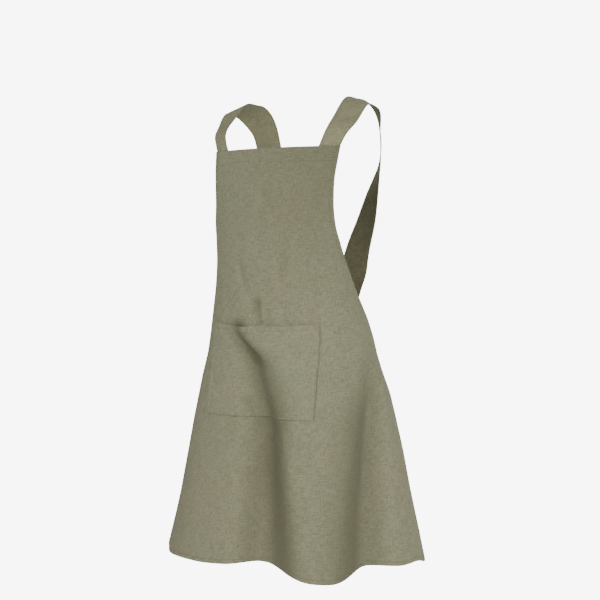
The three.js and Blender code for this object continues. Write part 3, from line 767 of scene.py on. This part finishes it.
def strap_face(run, off_share, lift, layer):
    """Places on the left strap: run along it, share across its width, and lift off its middle."""
    run, off_share, lift = np.broadcast_arrays(run, off_share, lift)
    ends = [path_place(np.clip(run + step, 0, path_run)) for step in (0.002, -0.002)]
    along = unit(ends[0] - ends[1])
    turn = np.radians(along_path(path_turn, run))
    tip = np.radians(along_path(path_tip, run))
    across = np.stack([np.cos(turn) * np.cos(tip), np.sin(turn) * np.cos(tip), -np.sin(tip)], -1)
    across = unit(across - along * np.sum(across * along, -1, keepdims=True))
    out = unit(np.cross(across, along))
    wide = along_path(path_wide, run) * STRAP_WIDTH
    off = (off_share - 0.5) * wide
    p = path_place(run) + across * off[..., None] + out * lift[..., None]
    down = STRAP_TUCK - run / np.hypot(1, STRAP_SLANT)
    sewn_share = 1 - ease((-down - STRAP_PRESSED) / STRAP_TURN)
    angle = strap_angle(off - wide / 2, down)
    sewn = cloth_at(angle, np.maximum(0, down / BODY_LENGTH), -sewn_depth - STRAP / 2 + lift)
    sewn[..., 2] = -SHOULDER_DROP - down
    p = mix(p, sewn, sewn_share[..., None])
    return lay_on_back(p, lift, layer)


# The straps are painted lighter than the body's linen, though it is the same cloth: painted light, for the
# light that they catch.
STRAP_LIT_PALE = (0.32, 0.307, 0.19)
STRAP_LIT_DARK = (0.178, 0.17, 0.097)
strap_linen = linen("strap_linen", STRAP_LIT_PALE, STRAP_LIT_DARK, [(0, STRAP_STITCH), (1, STRAP_END_STITCH)])
strap_stops = np.array((0, 0.00015, 0.0005, 0.001, 0.002, 0.003, 0.0035, 0.004, 0.005, 0.008))


def softness(run, off, seed):
    """How far a strap's cloth lies off its middle, between its two sewn ends."""
    uneven = STRAP_SOFT * unevenness(run / STRAP_SOFT_SIZE[0] + seed, off / STRAP_SOFT_SIZE[1], 11)
    uneven = uneven * ease((run - STRAP_SOFT_FROM[0]) / STRAP_SOFT_FROM[1])
    return uneven * ease((STRAP_SOFT_TO[0] * path_run - run) / STRAP_SOFT_TO[1])


def strap(name, side, layer, seed):
    """One strap with its two rows of stitches: side is 1 on the left, layer is 1 outermost."""
    runs = spread(path_run, strap_stops[:4], strap_stops[:4], STRAP_ROW)[:, None]
    wide = along_path(path_wide, runs[:, 0]) * STRAP_WIDTH
    steps = (wide - 2 * strap_stops[-1]) / STRAP_COLUMNS
    offs = np.stack([spread(w, strap_stops, strap_stops, step) for w, step in zip(wide, steps)])
    off_shares = offs / wide[:, None]
    edge = np.minimum(offs, wide[:, None] - offs)
    end = np.minimum(runs, path_run - runs) + 0 * offs
    half = STRAP / 2 * (1 - STRAP_EDGE_CLOSES * rounding(np.minimum(edge, end), STRAP / 2))
    half = half + groove(edge, STRAP_STITCH, STRAP_GROOVE, STRAP_GROOVE_WIDE)
    soft = softness(runs, offs, seed)
    faces = [strap_face(runs, off_shares, soft + face * half, layer) for face in (1, -1)]
    flat = np.stack([offs - wide[:, None] / 2, runs + 0 * offs], -1)
    margin = np.stack([edge, end], -1)
    if side < 0:
        faces = [face * (-1, 1, 1) for face in faces]
    if side > 0:
        faces, flat, margin = [f[::-1] for f in faces], flat[::-1], margin[::-1]
    piece = shell(name + "_linen", *faces, {"flat": flat, "margin": margin})
    dress(piece, strap_linen, "strap_linen", name)
    rows = []
    line = np.linspace(STRAP_END_STITCH, path_run - STRAP_END_STITCH, 500)
    wide = along_path(path_wide, line) * STRAP_WIDTH
    for off in (STRAP_STITCH, wide - STRAP_STITCH):
        off = off + 0 * line
        soft = softness(line, off, seed)
        for face in (1, -1):
            middle = strap_face(line, off / wide, soft, layer)
            outer = strap_face(line, off / wide, soft + face * STRAP / 2, layer)
            out = unit(outer - middle)
            places = outer - out * (STRAP_GROOVE - STITCH_OUT)
            if side < 0:
                places, out = places * (-1, 1, 1), out * (-1, 1, 1)
            rows.append((places, out))
    stitches = stitch_mesh(name + "_stitches", rows, thread, "strap_linen")


strap("strap_left", 1, 1, 0)
strap("strap_right", -1, -1, 9)

# Bib facing: a band of the same linen inside the bib's top edge, seamed to it there, turned in
# along its lower edge and stitched through. It holds the front ends of both straps.
FACING_STEP = 0.014
FACING_EDGE = 0.0006
FACING_INNER_STITCH = 0.003
FACING_ROW = 0.0014
FACING_COLUMNS = 190
over_strap = STRAP_TUCK + FACING_SEAM / 4
strap_end = path_wide[0] * STRAP_WIDTH
facing_stops = (0, 0.0001, 0.0003, 0.0006, 0.002, 0.005)
facing_downs = spread(FACING_HEIGHT, facing_stops, facing_stops, FACING_ROW)
facing_angle, facing_flat = [], []
for down in facing_downs:
    s = down / BODY_LENGTH
    run = lengths_round(s)
    inset = np.interp(edge_angle(s), TURN, run) - HEM_WIDTH / 3
    step = (2 * inset - 2 * facing_stops[-1]) / FACING_COLUMNS
    places = spread(2 * inset, facing_stops, facing_stops, step) - inset
    facing_angle.append(np.interp(places, run, TURN))
    facing_flat.append(np.stack([places, np.full(places.shape, down)], -1))
facing_angle, facing_flat = np.array(facing_angle), np.array(facing_flat)
facing_down = facing_downs[:, None] + 0 * facing_angle
facing_margin = np.stack([
    np.minimum(facing_flat[..., 0] - facing_flat[:, :1, 0], facing_flat[:, -1:, 0] - facing_flat[..., 0]),
    FACING_HEIGHT - facing_down,
], -1)
rises = strap_angle(-strap_end - 1.5 * FACING_STEP, facing_down)
risen = strap_angle(-strap_end - FACING_STEP / 2, facing_down)
beside = ease((np.abs(facing_angle) - rises) / (risen - rises))
over = beside * (1 - ease((facing_down - over_strap) / (FACING_HEIGHT - over_strap)))
facing_depth = mix(CLOTH + GAP, sewn_depth, beside) + (STRAP + GAP) * over
closing = rounding(np.min([facing_margin[..., 0], facing_margin[..., 1], facing_down], axis=0), FACING_EDGE)
facing_share = facing_down / BODY_LENGTH
facing_outside = cloth_at(facing_angle, facing_share, -facing_depth - closing * CLOTH * EDGE_CLOSES)
facing_inside = cloth_at(facing_angle, facing_share, -facing_depth - CLOTH * (1 - closing * EDGE_CLOSES))
facing_maps = {"flat": facing_flat, "margin": facing_margin}
facing = shell("bib_facing_linen", facing_outside, facing_inside, facing_maps)
facing_linen = linen("facing_linen", BODY_PALE, BODY_DARK, [(1, FACING_INNER_STITCH)])
dress(facing, facing_linen, "body_linen", "bib_facing")
stitched = np.argmin(np.abs(facing_downs - FACING_STITCH))
facing_row = facing_inside[stitched][4:-4]
facing_out = -out_of(facing_angle[stitched][4:-4], FACING_STITCH / BODY_LENGTH)
facing_row = (facing_row + facing_out * STITCH_OUT, facing_out)
inner_stitches = stitch_mesh("facing_inner_stitches", [facing_row], thread, "body_linen")

# Pocket: one wide patch of the same linen, turned in at its sides and bottom, edge-stitched to
# the skirt and left open at its hemmed top, which gapes a little. Small bars of stitches hold
# its upper corners.
POCKET_WIDTH = 0.24
POCKET_HEIGHT = 0.174
POCKET_TOP = 0.332
POCKET_SHIFT = 0.007
POCKET_GAPE = 0.0065
POCKET_EASE = 0.0006
POCKET_SAG = 0.006
POCKET_HEM = 0.01
POCKET_HEM_STITCH = POCKET_HEM - 0.0015
POCKET_ROW = 0.0028
POCKET_LEVELS = 60
GAPE_REACH = 0.8
GAPE_POWER = 1.2
GAPE_BEFORE_FOLD = 0.1
GAPE_FOLD_DEGREES = 22
POCKET_FOLD = (-24, 2, 10.5, 16, 17, 18, 18)
POCKET_STITCH = 0.002
POCKET_TURNED = 0.01
TURNED_STEP = 0.0012
TURNED_RAISES = 0.0006
POCKET_PALE = (0.305, 0.302, 0.197)
POCKET_DARK = (0.165, 0.162, 0.096)
pocket_stops = (0, 0.0001, 0.0003, 0.0006, 0.0014, 0.002, 0.0026, 0.004, 0.0085, 0.0098, 0.0102, 0.0125)
pocket_downs = spread(POCKET_HEIGHT, pocket_stops, pocket_stops, POCKET_ROW)
pocket_offs = spread(POCKET_WIDTH, pocket_stops, pocket_stops, POCKET_ROW)


def plain_lengths(s):
    """The length round the body without its folds at each angle of TURN, at one share down."""
    turn = np.radians(TURN)
    places = np.stack([half_width(s) * np.sin(turn), -half_depth(s) * np.cos(turn)])
    run = np.concatenate([[0], np.cumsum(np.hypot(*np.diff(places)))])
    return run - np.interp(0, TURN, run)


def pocket_place(off, down):
    """The angle and share down of places on the pocket, from its upper right corner."""
    across = 2 * off / POCKET_WIDTH - 1
    share = down / POCKET_HEIGHT
    sag = POCKET_SAG * (1 - across**2) * (1 - share)
    s = (POCKET_TOP + sag + share * (POCKET_HEIGHT - sag)) / BODY_LENGTH
    grid = np.linspace(s.min(), s.max(), POCKET_LEVELS)
    middle = POCKET_WIDTH / 2 - POCKET_SHIFT
    table = np.array([np.interp(off.ravel(), plain_lengths(g) + middle, TURN) for g in grid])
    level = np.interp(s.ravel(), grid, np.arange(POCKET_LEVELS))
    low = np.clip(level.astype(int), 0, POCKET_LEVELS - 2)
    column = np.arange(off.size)
    angle = mix(table[low, column], table[low + 1, column], level - low)
    angle = angle.reshape(off.shape)
    bow = np.clip(1 - across**2, 0, 1) ** GAPE_POWER * (1 - ease(share / GAPE_REACH))
    fold = smooth(FOLD_LEVELS, POCKET_FOLD, s)
    bow = bow * mix(GAPE_BEFORE_FOLD, 1, ease((angle - fold) / GAPE_FOLD_DEGREES + 0.4))
    return angle, s, GAP + POCKET_EASE + POCKET_GAPE * bow


pocket_off, pocket_down = np.meshgrid(pocket_offs, pocket_downs)
pocket_angle, pocket_share, pocket_lift = pocket_place(pocket_off, pocket_down)
pocket_edge = np.minimum(pocket_off, POCKET_WIDTH - pocket_off)
pocket_low = POCKET_HEIGHT - pocket_down
around = np.minimum(pocket_edge, pocket_low)
pocket_margins = np.minimum(around, pocket_down)
raised = TURNED_RAISES * ease((POCKET_TURNED - pocket_margins) / TURNED_STEP + 0.5)
closed = rounding(pocket_margins, CLOTH / 2) * EDGE_CLOSES
pulled = groove(around, POCKET_STITCH) + groove(pocket_down, POCKET_HEM_STITCH)
outer = pocket_lift + CLOTH * (1 - closed) + pulled + raised
inner = pocket_lift + CLOTH * closed
pocket_outside = cloth_at(pocket_angle, pocket_share, outer)
pocket_inside = cloth_at(pocket_angle, pocket_share, inner)
pocket_flat = np.stack([pocket_off, pocket_down], -1)
pocket_margin = np.stack([around, pocket_down], -1)
# The fold shade map paints shade into the pocket's colour.
pocket_maps = {"flat": pocket_flat, "margin": pocket_margin, "fold_shade": fold_shade(pocket_angle, pocket_share)}
pocket = shell("pocket_linen", pocket_outside, pocket_inside, pocket_maps)
pocket_seams = [(0, POCKET_STITCH), (1, POCKET_HEM_STITCH)]
pocket_linen = linen("pocket_linen", POCKET_PALE, POCKET_DARK, pocket_seams)
dress(pocket, pocket_linen, "pocket_linen", "pocket")


def pocket_row(off, down):
    """A row of stitches on the pocket's face."""
    off, down = np.broadcast_arrays(np.asarray(off, float), np.asarray(down, float))
    angle, s, lift = pocket_place(off, down)
    out = out_of(angle, s)
    return cloth(angle, s) + out * (lift + CLOTH + TURNED_RAISES / 2 + STITCH_OUT)[:, None], out


side_line = np.linspace(0.001, POCKET_HEIGHT - POCKET_STITCH, 90)
low_line = np.linspace(POCKET_STITCH, POCKET_WIDTH - POCKET_STITCH, 120)
rows = [
    pocket_row(POCKET_STITCH, side_line),
    pocket_row(POCKET_WIDTH - POCKET_STITCH, side_line),
    pocket_row(low_line, POCKET_HEIGHT - POCKET_STITCH),
    pocket_row(low_line, POCKET_HEM_STITCH),
]
BAR_WIDTH = 0.007
BAR_HEIGHT = 0.024
BAR_TOP = 0.0012
for corner, step in ((POCKET_STITCH, 1), (POCKET_WIDTH - POCKET_STITCH, -1)):
    down_line = np.linspace(0.001, BAR_HEIGHT, 16)
    across_line = corner + step * np.linspace(0, BAR_WIDTH, 8)
    rows.append(pocket_row(corner + step * BAR_WIDTH, down_line))
    rows.append(pocket_row(across_line, BAR_HEIGHT))
    rows.append(pocket_row(across_line, BAR_TOP))
pocket_stitches = stitch_mesh("pocket_stitches", rows, thread, "pocket_linen")

# Stage: a round pale floor in a plain bright room, under soft light from large panels. The floor
# and the room look evenly white, as a lit studio does, and give the apron only a part of that.
FLOOR_Z = -1.45
FLOOR_RADIUS = 9.0
floor_turns = np.radians(np.arange(0, 360, 5))
floor_points = [(FLOOR_RADIUS * np.sin(t), FLOOR_RADIUS * np.cos(t), FLOOR_Z) for t in floor_turns]
floor_mesh = bpy.data.meshes.new("floor")
floor_mesh.from_pydata(floor_points, [], [tuple(range(len(floor_points)))[::-1]])
floor = add("floor", floor_mesh)
PAPER = (0.7, 0.7, 0.7, 1)
PAPER_GLOW = 12.5
PAPER_SEEN = 0.92
paper = bpy.data.materials.new("pale_paper")
paper.use_nodes = True
paper_tree = Signal(paper.node_tree, None)
lit = paper_tree.node("ShaderNodeBsdfDiffuse", {}, {"Color": PAPER})
glow = paper_tree.node("ShaderNodeEmission", {}, {"Color": PAPER, "Strength": PAPER_GLOW})
seen = paper_tree.node("ShaderNodeLightPath", {}, {}, "Is Camera Ray")
both = paper_tree.node("ShaderNodeMixShader", {}, {0: seen * PAPER_SEEN, 1: lit, 2: glow})
paper.node_tree.links.new(both.socket, paper.node_tree.nodes["Material Output"].inputs["Surface"])
floor_mesh.materials.append(paper)

LIT_HEIGHT = -0.7
ROOM_LIGHT = 0.24
ROOM_SEEN = 7.9
world = bpy.data.worlds.new("bright_room")
world.use_nodes = True
room = world.node_tree.nodes["Background"]
room.inputs["Color"].default_value = (1, 1, 1, 1)
world_tree = Signal(world.node_tree, None)
room_seen = world_tree.node("ShaderNodeLightPath", {}, {}, "Is Camera Ray")
strength = ROOM_LIGHT + (ROOM_SEEN - ROOM_LIGHT) * room_seen
world.node_tree.links.new(strength.socket, room.inputs["Strength"])
bpy.context.scene.world = world


def panel(name, azimuth, elevation, distance, size, power):
    """A large soft light that faces the apron's middle, at an azimuth round from the front."""
    a, e = np.radians(azimuth), np.radians(elevation)
    away = Vector((np.sin(a) * np.cos(e), -np.cos(a) * np.cos(e), np.sin(e)))
    data = bpy.data.lights.new(name, "AREA")
    data.shape = "SQUARE"
    data.size = size
    data.energy = power
    light = add(name, data)
    light.visible_camera = False
    light.location = Vector((0, 0, LIT_HEIGHT)) + away * distance
    light.rotation_mode = "QUATERNION"
    light.rotation_quaternion = (-away).to_track_quat("-Z", "Y")


panel("key_panel", 56, 19, 2.7, 1.3, 32)
panel("left_panel", -12, 17, 2.9, 1.6, 45)
panel("side_panel", 110, 10, 3.2, 1.8, 35)
panel("back_panel", 205, 40, 3.4, 2.0, 30)

# Camera: level with the bib and round towards the left side. It looks straight ahead, and its
# picture is shifted down so that the whole skirt is in it.
VIEW_AZIMUTH = np.radians(32)
CAMERA_DISTANCE = 2.6
CAMERA_HEIGHT = -0.3
CAMERA_LENS = 79.56
PICTURE_SIZE = 600
camera_data = bpy.data.cameras.new("camera")
camera_data.lens = CAMERA_LENS
camera_data.sensor_width = 36
camera = add("camera", camera_data)
round_the_front = (np.sin(VIEW_AZIMUTH), -np.cos(VIEW_AZIMUTH))
camera.location = (*(CAMERA_DISTANCE * part for part in round_the_front), CAMERA_HEIGHT)
camera.rotation_euler = (np.radians(90), 0, VIEW_AZIMUTH)
camera_data.shift_x = 6 / PICTURE_SIZE
camera_data.shift_y = -44 / PICTURE_SIZE
bpy.context.scene.camera = camera
